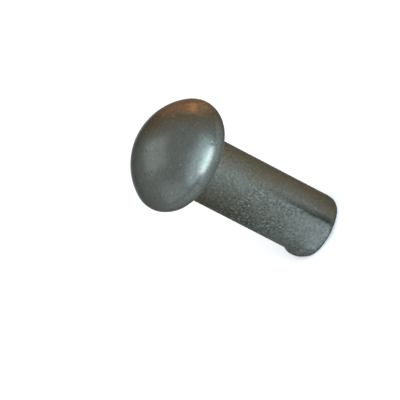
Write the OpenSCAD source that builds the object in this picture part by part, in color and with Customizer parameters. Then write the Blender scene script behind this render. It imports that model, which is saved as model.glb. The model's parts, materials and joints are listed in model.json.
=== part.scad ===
// Solid round-head rivet, cold headed from one length of steel wire.
// The seat under the head lies at z = 0, with the head above it and the shank below.
// The rivet stands on the flat cropped end of its shank.

/* [Shank] */
// Diameter of the shank
shank_d = 10; // [6:0.5:13.5]
// Length of the shank, from the seat of the head to the cropped end
shank_len = 26.5; // [12:0.5:60]
// Radius of the worn edge around the cropped end
end_edge_r = 0.5; // [0.2:0.1:2]

/* [Head] */
// Diameter of the head, where its rim bulges out furthest
head_d = 18; // [14.5:0.5:24]
// Height of the head, from its seat to the top of the dome
head_h = 7.8; // [5.5:0.1:10]
// Height of the widest part of the rim above the seat
rim_h = 1.5; // [0.5:0.1:2.2]
// Radius of the bulging rim, which runs from the dome down to the edge of the seat
rim_r = 2.4; // [1.7:0.1:3.5]

/* [Root] */
// Radius of the fillet between the seat and the shank
root_fillet_r = 1.2; // [0.3:0.1:2]

/* [Hidden] */
$fn = 96;

shank_r = shank_d / 2;
head_r = head_d / 2;
rim_x = head_r - rim_r;

// The rim stands this much above the dome, so that the two meet in one clean line.
hair = 0.00005;

// The dome is an arc about a point on the axis, at the height dome_z. It passes through
// the top of the head and runs smoothly into the rim, which settles its radius.
meet_h = rim_h - hair;
crest_h = head_h - rim_r;
dome_z = (crest_h^2 - rim_x^2 - meet_h^2) / (2 * (crest_h - meet_h));
dome_r = head_h - dome_z;

// Dome, from the axis out to the line through its centre and the centre of the rim
module dome_section() {
    meet_angle = atan2(rim_h - dome_z, rim_x);
    reach = 2 * dome_r;
    intersection() {
        translate([0, dome_z]) circle(dome_r);
        translate([0, dome_z]) polygon([
            [0, 0],
            [reach * cos(meet_angle), reach * sin(meet_angle)],
            [0, reach]
        ]);
        square([head_r, 2 * head_h]);
    }
}

// Bulging rim, cut off by the plane of the seat
module rim_section() {
    square([rim_x, rim_h]);
    intersection() {
        translate([rim_x, rim_h]) circle(rim_r);
        square([head_d, head_h]);
    }
}

// Fillet that carries the shank into the seat
module root_section() {
    difference() {
        translate([shank_r, -root_fillet_r]) square(root_fillet_r);
        translate([shank_r + root_fillet_r, -root_fillet_r]) circle(root_fillet_r);
    }
}

// Shank, with the edge of its cropped end rounded over
module shank_section() {
    translate([0, end_edge_r - shank_len]) square([shank_r, shank_len - end_edge_r]);
    translate([0, -shank_len]) square([shank_r - end_edge_r, end_edge_r]);
    translate([shank_r - end_edge_r, end_edge_r - shank_len]) circle(end_edge_r);
}

module rivet() {
    color("dimgray") rotate_extrude() {
        dome_section();
        rim_section();
        root_section();
        shank_section();
    }
}

rivet();
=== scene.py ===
"""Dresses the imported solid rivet: its forged steel, a plain studio and the photograph's camera."""

import json
import math
from types import SimpleNamespace

import bpy
from mathutils import Matrix, Vector


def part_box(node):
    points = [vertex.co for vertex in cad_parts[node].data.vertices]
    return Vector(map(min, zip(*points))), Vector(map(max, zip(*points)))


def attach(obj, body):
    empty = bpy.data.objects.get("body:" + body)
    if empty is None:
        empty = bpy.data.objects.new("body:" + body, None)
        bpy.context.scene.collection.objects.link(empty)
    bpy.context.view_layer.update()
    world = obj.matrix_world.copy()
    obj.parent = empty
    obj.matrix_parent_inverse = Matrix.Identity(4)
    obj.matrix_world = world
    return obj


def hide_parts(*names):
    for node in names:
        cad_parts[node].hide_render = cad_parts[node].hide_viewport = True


bl_info = {
    "name": "Round-head Rivet",
    "version": (1, 0, 0),
    "blender": (4, 5, 0),
    "location": "View3D > Sidebar > Rivet",
    "description": "Forges a round-head steel rivet and stands it on a plain studio floor",
    "category": "Add Mesh",
}

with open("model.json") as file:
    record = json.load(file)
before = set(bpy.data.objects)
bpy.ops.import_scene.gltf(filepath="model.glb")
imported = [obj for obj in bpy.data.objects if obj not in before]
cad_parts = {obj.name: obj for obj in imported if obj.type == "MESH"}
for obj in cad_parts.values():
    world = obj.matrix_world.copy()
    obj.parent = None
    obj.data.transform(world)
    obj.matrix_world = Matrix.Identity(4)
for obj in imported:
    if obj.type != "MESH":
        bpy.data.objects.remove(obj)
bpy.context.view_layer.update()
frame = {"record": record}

MM = 0.001

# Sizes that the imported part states: the box of its one node, and its mounts
RIVET_LOW, RIVET_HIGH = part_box("rivet")
MOUNTS = {mount["name"]: mount for mount in frame["record"]["mounts"]}
SHANK_RADIUS = MOUNTS["shank"]["dims"]["r_mm"] * MM
SHANK_WALL = MOUNTS["shank"]["dims"]["length_mm"] * MM
SHANK_MIDDLE = MOUNTS["shank"]["pos_m"][2]
SHANK_LENGTH = -MOUNTS["shank_end"]["pos_m"][2]

# How the photograph shows the rivet: the picture's width in pixels, the middle of the seat, the scale, the
# slope of the axis across the picture, and how far the head tips towards the viewer
PHOTO_WIDTH = 400
SEAT_PIXEL = (186.2, 159.0)
PIXELS_PER_MM = 6.75
AXIS_SLOPE = math.radians(27.4)
HEAD_TILT = math.radians(33.7)

# The camera: how far off it stands and how far it sees, in metres, and how wide its sensor is
CAMERA_DISTANCE = 0.8
CAMERA_REACH = 10
SENSOR_MM = 36

# How far the floor reaches each way, in metres
FLOOR_REACH = 1.5

# Softboxes: azimuth and elevation in degrees, distance, width and height in metres, brightness where white
# is 1, and colour
SOFTBOXES = {
    "low front softbox": (15, 7, 0.13, 0.11, 0.08, 8.5, "#e8f5ff"),
    "front softbox": (10, 28, 0.3, 0.64, 0.2, 2.0, "#d8eeff"),
    "side softbox": (-74, 20, 0.5, 0.4, 0.3, 0.7, "#e4f2ff"),
    "overhead softbox": (-150, 62, 0.6, 0.5, 0.5, 0.8, "#ffffff"),
    "warm softbox": (136, 8, 0.4, 0.35, 0.12, 0.7, "#ffe6c8"),
}

# Points of the mesh round the axis, of which the first and the last meet
COLUMNS = 289

# Points of the turned mesh that lie closer than this become one: those of its seam and its two poles
WELD = 0.0005 * MM

# Spacing of the patterns, from crest to crest or from cell to cell: first those of the form
WAVER_SPACING = 5 * MM
DRAW_LINE_SPACING = 0.5 * MM
PIT_SPACING = 0.8 * MM
CREASE_BEND_SPACING = 5 * MM
TORN_BORDER_SPACING = 1.6 * MM
TEAR_SPACING = 0.7 * MM

# Then those of the finish
CLOUD_SPACING = 3 * MM
SPECK_SPACING = 0.3 * MM
RUST_SPACING = 0.8 * MM
NICK_SPACING = 1 * MM
SHEAR_LINE_SPACING = 0.2 * MM

# How patterns are squeezed along X, Y and Z: less than 1 draws them out that way
DRAW_LINE_SQUEEZE = (1.0, 1.0, 0.03)
SPECK_SQUEEZE = (1.0, 1.0, 0.7)
SHEAR_LINE_SQUEEZE = (1.0, 0.05, 1.0)

# How far the die mark bends from side to side, and how high the specks stand in the steel's bump
CREASE_BEND = 0.8 * MM
SPECK_RELIEF = 0.03 * MM

# The oxide dims what the steel mirrors at grazing angles
GRAZING_TINT = (0.4, 0.4, 0.4, 1.0)

# Middle of the rust patch on the head, and of the fresh spot in it
RUST_PATCH = (8.0 * MM, 2.0 * MM, 3.0 * MM)
RUST_BLOOM = (7.6 * MM, -1.5 * MM, 4.0 * MM)

# Directions from the axis towards the side with the oil film and its painted reflection and shade, and
# towards the near side that painted light brightens near the end
FILM_AND_SHADE_SIDE = (0.71, 0.71, 0.0)
PAINTED_LIGHT_SIDE = (-0.3, -0.95, 0.0)

# Kinds of node that the trees use most
MATH = "ShaderNodeMath"
VECTOR = "ShaderNodeVectorMath"
AXES = "ShaderNodeSeparateXYZ"
RANGE = "ShaderNodeMapRange"
NOISE = "ShaderNodeTexNoise"
CELLS = "ShaderNodeTexVoronoi"
MIX = "ShaderNodeMix"

# Setting of a range that eases in and out
SMOOTH = {"interpolation_type": "SMOOTHSTEP"}


def linear(code):
    """Turn an sRGB hex colour into linear red, green, blue and alpha."""
    values = [int(code[i:i + 2], 16) / 255 for i in (1, 3, 5)]
    return (*(v / 12.92 if v <= 0.04045 else ((v + 0.055) / 1.055) ** 2.4 for v in values), 1.0)


def length(name, description, default):
    """A size in metres for a property group."""
    return bpy.props.FloatProperty(
        name=name, description=description, default=default, min=0, precision=5,
        subtype="DISTANCE", unit="LENGTH")


def colour(name, description, code):
    """A colour for a property group, from its sRGB hex value."""
    return bpy.props.FloatVectorProperty(
        name=name, description=description, default=linear(code), min=0, max=1, size=4, subtype="COLOR")


class RivetSizes(bpy.types.PropertyGroup):
    """The forged form, and how deep its surface marks go."""

    shank_radius: length("Shank radius", "Half the diameter of the shank", SHANK_RADIUS)
    shank_length: length("Shank length", "From the seat to the cropped end", SHANK_LENGTH)
    end_edge: length("End edge", "Radius of the worn edge of the cropped end",
                     SHANK_MIDDLE - SHANK_WALL / 2 + SHANK_LENGTH)
    root_fillet: length("Root fillet", "Radius between the shank and the seat",
                        -SHANK_MIDDLE - SHANK_WALL / 2)
    head_radius: length("Head radius", "Half the diameter of the head", RIVET_HIGH.x)
    head_height: length("Head height", "From the seat to the top of the dome", RIVET_HIGH.z)
    rim_height: length("Rim height", "From the seat to the widest part of the rim", 1.5 * MM)
    rim_radius: length("Rim radius", "Radius of the bulging rim, from the dome to the seat", 2.4 * MM)
    waver: length("Waver", "Depth of the slow hammered waver of the head", 0.1 * MM)
    draw_line: length("Draw line", "Depth of the lines that wire drawing left along the shank", 0.015 * MM)
    pit: length("Pit", "Depth of the pits where scale has flaked off", 0.04 * MM)
    crease: length("Crease", "Depth of the die mark along the shank", 0.15 * MM)
    crease_length: length("Crease length", "How far the die mark runs up from the cropped end", 19 * MM)
    crease_angle: bpy.props.FloatProperty(
        name="Crease angle", description="Direction of the die mark about the axis, from +X",
        default=math.radians(-72.5), subtype="ANGLE", unit="ROTATION")
    fracture: length("Fracture", "Depth of the torn part of the cropped end", 0.16 * MM)
    rollover: length("Rollover", "How far the shear rolled over one side of the cropped end", 0.3 * MM)
    burr: length("Burr", "How far the shear pushed out another side of the shank, near its end", 0.45 * MM)
    die_line: length("Die line", "Depth of the line that the heading die left on the seat", 0.08 * MM)
    die_line_inset: length("Die line inset", "From the edge of the seat in to that line", 0.4 * MM)


class RivetColours(bpy.types.PropertyGroup):
    """The colours of the steel and of the floor."""

    oxide: colour("Oxide", "Grey of the oxide left by heat treatment", "#585d59")
    # The oil film colour also serves as painted reflection and shade on the +X side
    film_and_reflection: colour("Oil film", "Olive brown of dried oil", "#575042")
    # The grime colour also serves as painted shade on the -X side of the shank under the head
    grime_and_shade: colour("Grime", "Dark olive of dirt under the head", "#3f3d30")
    rust: colour("Rust", "Brown of thin rust", "#705a44")
    bloom: colour("Rust bloom", "Orange of one fresh spot of rust", "#94704c")
    scale: colour("Scale", "Near black of thick scale and of dirt in the pits", "#262826")
    # The worn steel colour also serves as painted light on the near side of the shank towards its end
    worn: colour("Worn steel", "Bare steel where the oxide has rubbed or flaked off", "#8b928f")
    cropped: colour("Cropped steel", "Steel cut open at the end", "#7a8081")
    floor: colour("Floor", "Pale studio floor", "#ececec")


def add(tree, kind, links=None, **settings):
    """Add a node with its settings, and link or set its inputs, each by its name or its number.

    A node that is linked stands for its first output in use.
    """
    node = tree.nodes.new(kind)
    for name, value in settings.items():
        setattr(node, name, value)
    for key, value in (links or {}).items():
        sockets = [s for s in node.inputs if s.enabled]
        socket = sockets[key] if isinstance(key, int) else next(s for s in sockets if s.name == key)
        if isinstance(value, bpy.types.Node):
            value = next(s for s in value.outputs if s.enabled)
        if isinstance(value, bpy.types.NodeSocket):
            tree.links.new(value, socket)
        else:
            socket.default_value = value
    return node


def line(start, end, steps):
    """Points along a straight stretch of the half section, without its first."""
    return [tuple(a + (b - a) * i / steps for a, b in zip(start, end)) for i in range(1, steps + 1)]


def arc(centre, radius, start, end, steps):
    """Points along an arc of the half section, without its first. Angles are in radians."""
    angles = [start + (end - start) * i / steps for i in range(1, steps + 1)]
    return [(centre[0] + radius * math.cos(a), centre[1] + radius * math.sin(a)) for a in angles]


def seat_radius(sizes):
    """Radius at which the bulging rim meets the plane of the seat."""
    return sizes.head_radius - sizes.rim_radius + math.sqrt(sizes.rim_radius ** 2 - sizes.rim_height ** 2)


def half_section(sizes):
    """Radius and height along the outside, from the middle of the cropped end to the top of the dome.

    The last number of each stretch is its count of steps.
    """
    quarter = math.pi / 2
    foot = -sizes.shank_length
    inner = sizes.shank_radius - sizes.end_edge
    outer = sizes.shank_radius + sizes.root_fillet
    rim_x = sizes.head_radius - sizes.rim_radius
    rim_start = -math.asin(sizes.rim_height / sizes.rim_radius)

    # The dome is an arc about a point on the axis, and runs smoothly into the rim
    crest = sizes.head_height - sizes.rim_radius
    dome_z = (crest ** 2 - rim_x ** 2 - sizes.rim_height ** 2) / (2 * (crest - sizes.rim_height))
    dome_r = sizes.head_height - dome_z
    meet = math.atan2(sizes.rim_height - dome_z, rim_x)

    points = [(0.0, foot)]
    points += line(points[-1], (inner, foot), 30)
    points += arc((inner, foot + sizes.end_edge), sizes.end_edge, -quarter, 0, 12)
    points += line(points[-1], (sizes.shank_radius, -sizes.root_fillet), 140)
    points += arc((outer, -sizes.root_fillet), sizes.root_fillet, math.pi, quarter, 16)
    points += line(points[-1], (seat_radius(sizes), 0.0), 14)
    points += arc((rim_x, sizes.rim_height), sizes.rim_radius, rim_start, meet, 30)
    points += arc((0.0, dome_z), dome_r, meet, quarter, 60)
    points[-1] = (0.0, sizes.head_height)
    return points


def revolve(tree, given):
    """Turn the half section about the axis.

    It starts as a flat grid, with a row for each point of the section and the angle about the axis as X.
    """
    rows = add(tree, "GeometryNodeAttributeDomainSize", {
        "Geometry": given["Half section"]}, component="MESH")
    last_row = add(tree, MATH, {0: rows, 1: 1.0}, operation="SUBTRACT")
    grid = add(tree, "GeometryNodeMeshGrid", {
        "Size X": 2 * math.pi, "Size Y": last_row, "Vertices X": given["Columns"], "Vertices Y": rows})
    place = add(tree, "GeometryNodeInputPosition")
    flat = add(tree, AXES, {"Vector": place}).outputs
    row = add(tree, MATH, {0: last_row, 1: 0.5, 2: flat["Y"]}, operation="MULTIPLY_ADD")
    row = add(tree, MATH, {0: row}, operation="ROUND")
    point = add(tree, "GeometryNodeSampleIndex", {
        "Geometry": given["Half section"], "Value": place, "Index": row},
        data_type="FLOAT_VECTOR", domain="POINT", clamp=True)
    turned = add(tree, "ShaderNodeVectorRotate", {
        "Vector": point, "Angle": flat["X"]}, rotation_type="Z_AXIS")
    revolved = add(tree, "GeometryNodeSetPosition", {"Geometry": grid, "Position": turned})
    return add(tree, "GeometryNodeMergeByDistance", {"Geometry": revolved, "Distance": WELD})


def forged_places(tree, given):
    """Where a point of the turned surface lies, for the marks below."""
    place = add(tree, "GeometryNodeInputPosition")
    axes = add(tree, AXES, {"Vector": place}).outputs
    above_foot = add(tree, MATH, {0: axes["Z"], 1: given["Foot"]}, operation="SUBTRACT")
    off_axis = add(tree, VECTOR, {0: place, 1: (1.0, 1.0, 0.0)}, operation="MULTIPLY")
    radius = add(tree, VECTOR, {0: off_axis}, operation="LENGTH")
    on_head = add(tree, RANGE, {
        "Value": axes["Z"], "From Min": -0.2 * MM, "From Max": 0.5 * MM}, **SMOOTH)
    below_head = add(tree, MATH, {0: 1.0, 1: on_head}, operation="SUBTRACT")
    on_end = add(tree, RANGE, {
        "Value": above_foot, "From Min": 0.9 * MM, "From Max": 0.05 * MM}, **SMOOTH)
    return SimpleNamespace(
        place=place, x=axes["X"], y=axes["Y"], z=axes["Z"], above_foot=above_foot, radius=radius,
        on_head=on_head, below_head=below_head, on_end=on_end)


def head_waver(tree, at):
    """Slow waver of the forged head."""
    slow = add(tree, NOISE, {
        "Vector": at.place, "Scale": 1 / WAVER_SPACING, "Detail": 3.0, "Roughness": 0.55})
    return add(tree, RANGE, {"Value": slow, "To Max": at.on_head})


def drawn_lines(tree, at):
    """Lines that wire drawing left along the shank."""
    on_wall = add(tree, RANGE, {
        "Value": at.above_foot, "From Min": 0.1 * MM, "From Max": 0.9 * MM, "To Max": at.below_head},
        **SMOOTH)
    along = add(tree, VECTOR, {0: at.place, 1: DRAW_LINE_SQUEEZE}, operation="MULTIPLY")
    drawn = add(tree, NOISE, {"Vector": along, "Scale": 1 / DRAW_LINE_SPACING, "Detail": 2.0})
    return add(tree, RANGE, {"Value": drawn, "To Max": on_wall})


def scale_pits(tree, at):
    """Pits of flaked scale, in some of the cells of a cell pattern, and fewer on the head."""
    cells = add(tree, CELLS, {"Vector": at.place, "Scale": 1 / PIT_SPACING}).outputs
    chance = add(tree, AXES, {"Vector": cells["Color"]}).outputs["X"]
    left_whole = add(tree, RANGE, {"Value": at.on_head, "To Min": 0.6, "To Max": 0.86})
    picked = add(tree, MATH, {0: chance, 1: left_whole}, operation="GREATER_THAN")
    return add(tree, RANGE, {
        "Value": cells["Distance"], "From Min": 0.34, "From Max": 0.08, "To Max": picked}, **SMOOTH)


def die_mark(tree, given, at):
    """Die mark along one side of the shank, plain near the cropped end and fading out upwards."""
    bends = add(tree, NOISE, {"Vector": at.place, "Scale": 1 / CREASE_BEND_SPACING, "Detail": 1.0})
    faced = add(tree, "ShaderNodeVectorRotate", {"Vector": at.place, "Angle": given["Crease angle"]},
                rotation_type="Z_AXIS", invert=True)
    facing = add(tree, AXES, {"Vector": faced}).outputs
    aside = add(tree, MATH, {0: bends, 1: CREASE_BEND, 2: facing["Y"]}, operation="MULTIPLY_ADD")
    aside = add(tree, MATH, {0: aside, 1: CREASE_BEND / 2}, operation="SUBTRACT")
    near_side = add(tree, RANGE, {
        "Value": facing["X"], "From Min": 0.78 * SHANK_RADIUS, "From Max": 0.9 * SHANK_RADIUS,
        "To Max": at.below_head}, **SMOOTH)
    faded = add(tree, RANGE, {
        "Value": at.above_foot, "From Min": given["Crease length"], "From Max": 2 * MM,
        "To Max": near_side}, **SMOOTH)
    faded = add(tree, RANGE, {
        "Value": at.above_foot, "From Min": 0.2 * MM, "From Max": 1.4 * MM, "To Max": faded}, **SMOOTH)
    soft_flank = add(tree, RANGE, {
        "Value": aside, "From Min": 1.3 * MM, "From Max": -0.1 * MM, "To Max": faded}, **SMOOTH)
    return add(tree, RANGE, {
        "Value": aside, "From Min": -0.45 * MM, "From Max": -0.05 * MM, "To Max": soft_flank}, **SMOOTH)


def torn_part(tree, at):
    """Far part of the cropped end, where the steel tore off, with a ragged border."""
    ragged = add(tree, NOISE, {"Vector": at.place, "Scale": 1 / TORN_BORDER_SPACING, "Detail": 2.0})
    across = add(tree, MATH, {0: ragged, 1: 1.5 * MM, 2: at.y}, operation="MULTIPLY_ADD")
    return add(tree, RANGE, {
        "Value": across, "From Min": -0.6 * MM, "From Max": 0.6 * MM, "To Max": at.on_end}, **SMOOTH)


def tear_relief(tree, at, torn):
    """Rough relief of the torn part."""
    rough = add(tree, NOISE, {"Vector": at.place, "Scale": 1 / TEAR_SPACING, "Detail": 3.0})
    return add(tree, RANGE, {"Value": rough, "To Max": torn})


def rolled_edge(tree, at):
    """Near side of the cropped end, which the shear rolled over."""
    return add(tree, RANGE, {
        "Value": at.y, "From Min": -0.6 * SHANK_RADIUS, "From Max": -SHANK_RADIUS, "To Max": at.on_end},
        **SMOOTH)


def burr_step(tree, at):
    """Side of the shank that the shear pushed out, in a step a little above the end."""
    pushed = add(tree, RANGE, {
        "Value": at.x, "From Min": -0.5 * SHANK_RADIUS, "From Max": -0.98 * SHANK_RADIUS}, **SMOOTH)
    step = add(tree, RANGE, {
        "Value": at.above_foot, "From Min": 2.6 * MM, "From Max": 1.9 * MM, "To Max": pushed}, **SMOOTH)
    return add(tree, RANGE, {
        "Value": at.above_foot, "From Min": 0.0, "From Max": 1.4 * MM, "To Max": step}, **SMOOTH)


def seat_line(tree, given, at):
    """Line that the heading die left round the seat."""
    ring = add(tree, MATH, {0: at.radius, 1: given["Die line radius"]}, operation="SUBTRACT")
    ring = add(tree, MATH, {0: ring}, operation="ABSOLUTE")
    on_seat = add(tree, MATH, {0: at.z, 1: 0.0, 2: 0.1 * MM}, operation="COMPARE")
    return add(tree, RANGE, {
        "Value": ring, "From Min": 0.2 * MM, "From Max": 0.05 * MM, "To Max": on_seat}, **SMOOTH)


def worn_and_lit_places(tree, given, at):
    """The edge of the seat, where the steel wears, and painted light on the near side of the shank towards
    its end but not on the end's edge.
    """
    outside = add(tree, MATH, {0: at.radius, 1: given["Seat radius"]}, operation="SUBTRACT")
    from_edge = add(tree, "ShaderNodeCombineXYZ", {"X": outside, "Z": at.z})
    from_edge = add(tree, VECTOR, {0: from_edge}, operation="LENGTH")
    seat_edge = add(tree, RANGE, {
        "Value": from_edge, "From Min": 0.4 * MM, "From Max": 0.05 * MM}, **SMOOTH)
    # Painted light: the near side is lightened towards the end, against the shade of the floor
    lit_near_end = add(tree, VECTOR, {0: at.place, 1: PAINTED_LIGHT_SIDE}, operation="DOT_PRODUCT")
    lit_near_end = add(tree, RANGE, {
        "Value": lit_near_end, "From Min": 0.8 * SHANK_RADIUS, "From Max": SHANK_RADIUS}, **SMOOTH)
    lit_near_end = add(tree, RANGE, {
        "Value": at.above_foot, "From Min": 13 * MM, "From Max": 1 * MM, "To Max": lit_near_end}, **SMOOTH)
    lit_near_end = add(tree, RANGE, {
        "Value": at.above_foot, "From Min": 0.4 * MM, "From Max": 1 * MM, "To Max": lit_near_end}, **SMOOTH)
    return add(tree, MATH, {0: seat_edge, 1: lit_near_end}, operation="MAXIMUM")


def forging_tree():
    """Node tree that turns a half section about the axis and marks the surface."""
    tree = bpy.data.node_groups.new("Rivet forging", "GeometryNodeTree")
    tree.interface.new_socket("Half section", in_out="INPUT", socket_type="NodeSocketGeometry")
    tree.interface.new_socket("Columns", in_out="INPUT", socket_type="NodeSocketInt")
    for name in ("Foot", "Seat radius", "Waver", "Draw line", "Pit", "Crease", "Crease length",
                 "Crease angle", "Fracture", "Rollover", "Burr", "Die line", "Die line radius"):
        tree.interface.new_socket(name, in_out="INPUT", socket_type="NodeSocketFloat")
    tree.interface.new_socket("Steel", in_out="INPUT", socket_type="NodeSocketMaterial")
    tree.interface.new_socket("Rivet", in_out="OUTPUT", socket_type="NodeSocketGeometry")
    given = add(tree, "NodeGroupInput").outputs
    at = forged_places(tree, given)
    pit = scale_pits(tree, at)
    crease = die_mark(tree, given, at)
    torn = torn_part(tree, at)

    # All marks go into the surface, apart from the burr, which stands out of it
    sunk = (
        ("Waver", head_waver(tree, at)),
        ("Draw line", drawn_lines(tree, at)),
        ("Pit", pit),
        ("Crease", crease),
        ("Fracture", tear_relief(tree, at, torn)),
        ("Rollover", rolled_edge(tree, at)),
        ("Die line", seat_line(tree, given, at)),
    )
    depth = 0.0
    for size, mark in sunk:
        depth = add(tree, MATH, {0: mark, 1: given[size], 2: depth}, operation="MULTIPLY_ADD")
    outwards = add(tree, MATH, {0: burr_step(tree, at), 1: given["Burr"]}, operation="MULTIPLY")
    outwards = add(tree, MATH, {0: outwards, 1: depth}, operation="SUBTRACT")
    normal = add(tree, "GeometryNodeInputNormal")
    offset = add(tree, VECTOR, {0: normal, "Scale": outwards}, operation="SCALE")

    # The steel reads where the marks are from these attributes
    stored = {"pit": pit, "crease": crease, "torn": torn, "worn": worn_and_lit_places(tree, given, at)}
    shape = revolve(tree, given)
    for name, mark in stored.items():
        shape = add(tree, "GeometryNodeStoreNamedAttribute", {
            "Geometry": shape, "Name": name, "Value": mark}, data_type="FLOAT", domain="POINT")
    shape = add(tree, "GeometryNodeSetPosition", {"Geometry": shape, "Offset": offset})
    shape = add(tree, "GeometryNodeSetShadeSmooth", {0: shape})
    shape = add(tree, "GeometryNodeRealizeInstances", {"Geometry": shape})
    shape = add(tree, "GeometryNodeSetMaterial", {"Geometry": shape, "Material": given["Steel"]})
    add(tree, "NodeGroupOutput", {"Rivet": shape})
    return tree


def steel_places(tree, sizes):
    """Where a point of the finished surface lies, its stored marks, and two patterns for all finishes."""
    place = add(tree, "ShaderNodeTexCoord").outputs["Object"]
    axes = add(tree, AXES, {"Vector": place}).outputs
    marks = {name: add(tree, "ShaderNodeAttribute", attribute_name=name).outputs["Fac"]
             for name in ("pit", "crease", "torn", "worn")}
    foot = -sizes.shank_length
    on_head = add(tree, RANGE, {
        "Value": axes["Z"], "From Min": -0.3 * MM, "From Max": 0.4 * MM}, **SMOOTH)
    on_end = add(tree, RANGE, {
        "Value": axes["Z"], "From Min": foot + 0.5 * MM, "From Max": foot + 0.1 * MM}, **SMOOTH)

    # Clouds break up the borders of finishes, and specks are flaked scale, drawn out along the shank
    clouds = add(tree, NOISE, {
        "Vector": place, "Scale": 1 / CLOUD_SPACING, "Detail": 4.0, "Roughness": 0.6})
    drawn_out = add(tree, VECTOR, {0: place, 1: SPECK_SQUEEZE}, operation="MULTIPLY")
    specks = add(tree, NOISE, {
        "Vector": drawn_out, "Scale": 1 / SPECK_SPACING, "Detail": 2.0, "Roughness": 0.75})
    return SimpleNamespace(
        place=place, x=axes["X"], y=axes["Y"], z=axes["Z"], on_head=on_head, on_end=on_end,
        clouds=clouds, specks=specks, **marks)


def oil_film_and_painted_reflection(tree, at):
    """Dried oil, with painted reflection and shade, on one side: a darker brown towards +X, reaching less
    far round on the head, and thinner at the back.
    """
    side = add(tree, VECTOR, {0: at.place, 1: FILM_AND_SHADE_SIDE}, operation="DOT_PRODUCT")
    side = add(tree, MATH, {0: at.clouds, 1: 5 * MM, 2: side}, operation="MULTIPLY_ADD")
    side = add(tree, MATH, {0: at.on_head, 1: -1.8 * MM, 2: side}, operation="MULTIPLY_ADD")
    thinner = add(tree, RANGE, {
        "Value": at.y, "From Min": 1 * MM, "From Max": 5 * MM, "To Min": 1.0, "To Max": 0.35})
    return add(tree, RANGE, {
        "Value": side, "From Min": -1.2 * MM, "From Max": 3.4 * MM, "To Max": thinner}, **SMOOTH)


def rust_patch(tree, at):
    """Thin rust on the head, and the one fresh spot in it, both with grainy borders."""
    grains = add(tree, NOISE, {
        "Vector": at.place, "Scale": 1 / RUST_SPACING, "Detail": 3.0, "Roughness": 0.7})
    from_rust = add(tree, VECTOR, {0: at.place, 1: RUST_PATCH}, operation="DISTANCE")
    from_rust = add(tree, MATH, {0: at.clouds, 1: 3 * MM, 2: from_rust}, operation="MULTIPLY_ADD")
    from_rust = add(tree, MATH, {0: grains, 1: 6 * MM, 2: from_rust}, operation="MULTIPLY_ADD")
    rusted = add(tree, RANGE, {
        "Value": from_rust, "From Min": 11.3 * MM, "From Max": 8.2 * MM, "To Max": at.on_head}, **SMOOTH)
    from_bloom = add(tree, VECTOR, {0: at.place, 1: RUST_BLOOM}, operation="DISTANCE")
    from_bloom = add(tree, MATH, {0: grains, 1: 8 * MM, 2: from_bloom}, operation="MULTIPLY_ADD")
    blooming = add(tree, RANGE, {
        "Value": from_bloom, "From Min": 5.8 * MM, "From Max": 3.8 * MM, "To Max": 0.9}, **SMOOTH)
    return rusted, blooming


def nicks(tree, at):
    """Nicks that knocks left on the head: bright dots in half of the cells of a cell pattern."""
    knocks = add(tree, CELLS, {"Vector": at.place, "Scale": 1 / NICK_SPACING}).outputs
    chance = add(tree, AXES, {"Vector": knocks["Color"]}).outputs["X"]
    knocked = add(tree, MATH, {0: chance, 1: 0.5}, operation="GREATER_THAN")
    knocked = add(tree, RANGE, {"Value": knocked, "To Max": at.on_head})
    nicked = add(tree, RANGE, {
        "Value": knocks["Distance"], "From Min": 0.16, "From Max": 0.06, "To Max": knocked}, **SMOOTH)
    return add(tree, RANGE, {"Value": nicked, "To Max": 0.4})


def root_grime_and_shade(tree, at):
    """Thin grime on the shank under the head, and painted shade that makes the -X side darker there."""
    # Painted shade: the -X side gets three times the grime of the +X side
    grimy_and_shaded_side = add(tree, RANGE, {
        "Value": at.x, "From Min": 1 * MM, "From Max": -4 * MM, "To Min": 0.25, "To Max": 0.75})
    grimy_and_shaded_side = add(tree, RANGE, {"Value": at.on_head, "To Min": grimy_and_shaded_side, "To Max": 0.0})
    return add(tree, RANGE, {
        "Value": at.z, "From Min": -20 * MM, "From Max": -8 * MM, "To Max": grimy_and_shaded_side}, **SMOOTH)


def speck_strength(tree, at, filmed_and_shaded):
    """How plainly specks show: less under the oil film and its painted reflection, in some clouds, where
    rubbed or painted lighter, near the head and on it.
    """
    plain = add(tree, RANGE, {"Value": filmed_and_shaded, "From Max": 0.6, "To Min": 1.0, "To Max": 0.2})
    plain = add(tree, RANGE, {
        "Value": at.clouds, "From Min": 0.3, "From Max": 0.65, "To Min": 0.15, "To Max": plain})
    plain = add(tree, RANGE, {"Value": at.worn, "To Min": plain, "To Max": 0.35})
    plain = add(tree, RANGE, {
        "Value": at.z, "From Min": -11 * MM, "From Max": -5 * MM, "To Min": plain, "To Max": 0.3})
    return add(tree, MIX, {"Factor": at.on_head, "A": plain, "B": 0.16}, data_type="FLOAT")


def bare_and_lit_patches(tree, at):
    """Steel that shows in patches where the surface is rubbed, and painted light in the same colour on the
    near side towards the end.
    """
    patchy = add(tree, RANGE, {
        "Value": at.clouds, "From Min": 0.3, "From Max": 0.7, "To Min": 0.15, "To Max": 0.6})
    return add(tree, RANGE, {
        "Value": at.worn, "From Min": 0.1, "From Max": 0.9, "To Max": patchy}, **SMOOTH)


def shear_lines(tree, at):
    """Lines that the shear dragged across the cropped end."""
    dragged = add(tree, VECTOR, {0: at.place, 1: SHEAR_LINE_SQUEEZE}, operation="MULTIPLY")
    sheared = add(tree, NOISE, {"Vector": dragged, "Scale": 1 / SHEAR_LINE_SPACING, "Detail": 2.0})
    sheared = add(tree, RANGE, {
        "Value": sheared, "From Min": 0.6, "From Max": 0.3, "To Max": at.on_end}, **SMOOTH)
    return add(tree, RANGE, {"Value": sheared, "To Max": 0.3})


def torn_shade(tree, at):
    """Painted shade: dark hollows in the torn part of the cropped end, in place of the shading of its
    rough relief.
    """
    hollow_shade = add(tree, RANGE, {
        "Value": at.specks, "From Min": 0.7, "From Max": 0.3, "To Max": at.torn}, **SMOOTH)
    return add(tree, RANGE, {"Value": hollow_shade, "To Max": 0.45})


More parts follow.
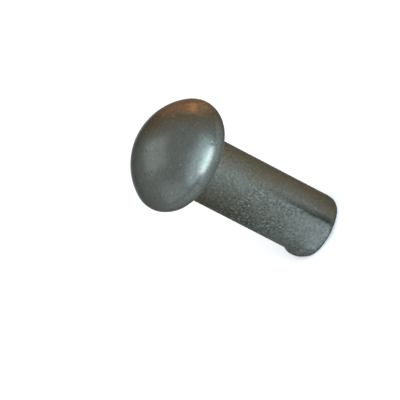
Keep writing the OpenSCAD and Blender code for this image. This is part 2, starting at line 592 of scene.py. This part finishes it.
def oxidised_steel(colours, sizes):
    """Cold-headed carbon steel under the thin oxide of its heat treatment.

    It reads as dark satin metal: the die left the head smooth, so it mirrors the studio softly, while the
    drawn shank is duller, with specks of scale, brown film with painted reflection and shade on one side,
    painted shade under the head, in the die mark and in the torn end, and brighter steel where edges have
    rubbed, with painted light near the end.
    """
    steel = bpy.data.materials.new("cold-headed oxidised steel")
    steel.use_nodes = True
    tree = steel.node_tree
    tree.nodes.clear()
    at = steel_places(tree, sizes)
    filmed_and_shaded = oil_film_and_painted_reflection(tree, at)
    rusted, blooming = rust_patch(tree, at)
    plain = speck_strength(tree, at, filmed_and_shaded)
    dark = add(tree, RANGE, {
        "Value": at.specks, "From Min": 0.48, "From Max": 0.38, "To Max": plain}, **SMOOTH)
    bright = add(tree, RANGE, {
        "Value": at.specks, "From Min": 0.52, "From Max": 0.76, "To Max": plain}, **SMOOTH)
    pitted = add(tree, RANGE, {"Value": at.pit, "From Min": 0.1, "From Max": 0.9, "To Max": 0.4})
    # Painted shade and painted dark reflection in the groove of the die mark
    crease_shade = add(tree, RANGE, {"Value": at.crease, "From Min": 0.1, "From Max": 0.9, "To Max": 0.75})

    # Each coat lies over those before it
    coats = (
        # Painted shade on the -X side under the head, over a thin grime all round
        (root_grime_and_shade(tree, at), colours.grime_and_shade),
        # Oil film with painted reflection and shade on the +X side
        (filmed_and_shaded, colours.film_and_reflection),
        (rusted, colours.rust),
        # Bare steel at the seat edge, and painted light on the near side towards the end
        (bare_and_lit_patches(tree, at), colours.worn),
        (dark, colours.scale),
        (bright, colours.worn),
        (blooming, colours.bloom),
        (nicks(tree, at), colours.worn),
        (at.on_end, colours.cropped),
        (shear_lines(tree, at), colours.scale),
        # Painted shade in the torn part of the end
        (torn_shade(tree, at), colours.scale),
        (pitted, colours.scale),
        # Painted shade in the die mark
        (crease_shade, colours.scale),
    )
    tone = colours.oxide
    for amount, coat in coats:
        tone = add(tree, MIX, {"Factor": amount, "A": tone, "B": coat}, data_type="RGBA")

    # The shank is rougher where scale is left, and the head is smooth apart from its rust
    scaly = add(tree, RANGE, {
        "Value": at.specks, "From Min": 0.35, "From Max": 0.65, "To Min": 0.6, "To Max": 0.38})
    smooth = add(tree, RANGE, {
        "Value": at.clouds, "From Min": 0.3, "From Max": 0.7, "To Min": 0.21, "To Max": 0.32})
    smooth = add(tree, RANGE, {"Value": rusted, "To Min": smooth, "To Max": 0.4})
    rough = add(tree, MIX, {"Factor": at.on_head, "A": scaly, "B": smooth}, data_type="FLOAT")
    grain = add(tree, "ShaderNodeBump", {"Height": at.specks, "Strength": plain, "Distance": SPECK_RELIEF})
    shader = add(tree, "ShaderNodeBsdfPrincipled", {
        "Base Color": tone, "Metallic": 1.0, "Roughness": rough, "Normal": grain,
        "Specular Tint": GRAZING_TINT})
    add(tree, "ShaderNodeOutputMaterial", {"Surface": shader})
    return steel


def only_mesh(piece):
    """Replace a piece's data with its evaluated mesh, and drop its modifiers."""
    graph = bpy.context.evaluated_depsgraph_get()
    mesh = bpy.data.meshes.new_from_object(
        piece.evaluated_get(graph), preserve_all_data_layers=True, depsgraph=graph)
    piece.modifiers.clear()
    piece.data = mesh


class RIVET_OT_forge(bpy.types.Operator):
    """Turn the half section into the rivet, mark its surface and give it its steel"""

    bl_idname = "rivet.forge"
    bl_label = "Forge Rivet"

    def execute(self, context):
        sizes = context.scene.rivet_sizes
        section = bpy.data.meshes.new("half_section")
        points = [(x, 0.0, z) for x, z in half_section(sizes)]
        section.from_pydata(points, [(i, i + 1) for i in range(len(points) - 1)], [])
        rivet = bpy.data.objects.new("forged_rivet", section)
        context.scene.collection.objects.link(rivet)
        tree = forging_tree()
        forging = rivet.modifiers.new("Forging", "NODES")
        forging.node_group = tree
        values = {
            "Columns": COLUMNS,
            "Foot": -sizes.shank_length,
            "Seat radius": seat_radius(sizes),
            "Waver": sizes.waver,
            "Draw line": sizes.draw_line,
            "Pit": sizes.pit,
            "Crease": sizes.crease,
            "Crease length": sizes.crease_length,
            "Crease angle": sizes.crease_angle,
            "Fracture": sizes.fracture,
            "Rollover": sizes.rollover,
            "Burr": sizes.burr,
            "Die line": sizes.die_line,
            "Die line radius": seat_radius(sizes) - sizes.die_line_inset,
            "Steel": oxidised_steel(context.scene.rivet_colours, sizes),
        }
        for socket in tree.interface.items_tree:
            if socket.name in values:
                forging[socket.identifier] = values[socket.name]
        only_mesh(rivet)
        if len(rivet.data.polygons) != (COLUMNS - 1) * (len(points) - 1):
            raise RuntimeError("the rivet's mesh came out incomplete")
        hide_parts("rivet")
        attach(rivet, "root")
        return {"FINISHED"}


def direction(azimuth, elevation):
    """Unit vector from the rivet. Azimuth is in degrees from the camera's side towards +X."""
    a, e = math.radians(azimuth), math.radians(elevation)
    return Vector((math.sin(a) * math.cos(e), -math.cos(a) * math.cos(e), math.sin(e)))


class RIVET_OT_stage(bpy.types.Operator):
    """Lay the floor, hang the softboxes and set up the photograph's camera"""

    bl_idname = "rivet.stage"
    bl_label = "Set Stage"

    def execute(self, context):
        scene = context.scene
        scene.view_settings.view_transform = "Standard"
        self.lay_floor(scene)
        self.light_world(scene)
        for name, values in SOFTBOXES.items():
            self.hang_softbox(scene, name, *values)
        self.set_camera(scene)
        return {"FINISHED"}

    def lay_floor(self, scene):
        mesh = bpy.data.meshes.new("floor")
        corners = [(x * FLOOR_REACH, y * FLOOR_REACH, RIVET_LOW.z)
                   for x, y in ((-1, -1), (1, -1), (1, 1), (-1, 1))]
        mesh.from_pydata(corners, [], [(0, 1, 2, 3)])
        floor = bpy.data.objects.new("floor", mesh)
        scene.collection.objects.link(floor)
        # Matt white board: no gloss, so nothing but the rivet's shadow shows on it
        board = bpy.data.materials.new("matt white board")
        board.use_nodes = True
        board.node_tree.nodes.clear()
        shader = add(board.node_tree, "ShaderNodeBsdfDiffuse", {"Color": scene.rivet_colours.floor})
        add(board.node_tree, "ShaderNodeOutputMaterial", {"Surface": shader})
        mesh.materials.append(board)

    def light_world(self, scene):
        world = bpy.data.worlds.new("studio")
        world.use_nodes = True
        world.node_tree.nodes.clear()
        sky = add(world.node_tree, "ShaderNodeBackground", {"Color": linear("#ffffff"), "Strength": 1.0})
        add(world.node_tree, "ShaderNodeOutputWorld", {"Surface": sky})
        scene.world = world

    def hang_softbox(self, scene, name, azimuth, elevation, distance, width, height, brightness, code):
        lamp = bpy.data.lights.new(name, "AREA")
        lamp.shape = "RECTANGLE"
        lamp.size = width
        lamp.size_y = height
        lamp.color = linear(code)[:3]
        # A lamp's brightness is its power divided by pi and by its area
        lamp.energy = brightness * math.pi * width * height
        softbox = bpy.data.objects.new(name, lamp)
        towards = direction(azimuth, elevation)
        turn = towards.to_track_quat("Z", "Y").to_matrix().to_4x4()
        softbox.matrix_world = Matrix.Translation(towards * distance) @ turn
        softbox.visible_camera = False
        scene.collection.objects.link(softbox)

    def set_camera(self, scene):
        lens = bpy.data.cameras.new("camera")
        lens.sensor_width = SENSOR_MM
        lens.lens = SENSOR_MM * PIXELS_PER_MM / MM * CAMERA_DISTANCE / PHOTO_WIDTH
        lens.clip_end = CAMERA_REACH
        camera = bpy.data.objects.new("camera", lens)
        scene.collection.objects.link(camera)
        # The photograph shows the axis sloping, with the head up on the left
        back = direction(0, math.degrees(HEAD_TILT))
        level = Vector((1, 0, 0))
        upright = back.cross(level)
        right = level * math.sin(AXIS_SLOPE) - upright * math.cos(AXIS_SLOPE)
        up = level * math.cos(AXIS_SLOPE) + upright * math.sin(AXIS_SLOPE)
        middle = PHOTO_WIDTH / 2
        aim = (right * (middle - SEAT_PIXEL[0]) + up * (SEAT_PIXEL[1] - middle)) * MM / PIXELS_PER_MM
        eye = back * CAMERA_DISTANCE
        back = (eye - aim).normalized()
        right = up.cross(back).normalized()
        up = back.cross(right)
        camera.matrix_world = Matrix.Translation(eye) @ Matrix((right, up, back)).transposed().to_4x4()
        scene.camera = camera


class RIVET_PT_sidebar(bpy.types.Panel):
    """Buttons and sizes of the rivet"""

    bl_idname = "RIVET_PT_sidebar"
    bl_label = "Round-head Rivet"
    bl_space_type = "VIEW_3D"
    bl_region_type = "UI"
    bl_category = "Rivet"

    def draw(self, context):
        for group in (context.scene.rivet_sizes, context.scene.rivet_colours):
            box = self.layout.box()
            for name in group.__annotations__:
                box.prop(group, name)
        self.layout.operator("rivet.forge")
        self.layout.operator("rivet.stage")


CLASSES = (RivetSizes, RivetColours, RIVET_OT_forge, RIVET_OT_stage, RIVET_PT_sidebar)


def register():
    for item in CLASSES:
        bpy.utils.register_class(item)
    bpy.types.Scene.rivet_sizes = bpy.props.PointerProperty(type=RivetSizes)
    bpy.types.Scene.rivet_colours = bpy.props.PointerProperty(type=RivetColours)


def unregister():
    del bpy.types.Scene.rivet_colours
    del bpy.types.Scene.rivet_sizes
    for item in reversed(CLASSES):
        bpy.utils.unregister_class(item)


def main():
    register()
    bpy.ops.rivet.forge()
    bpy.ops.rivet.stage()


if __name__ == "__main__":
    main()
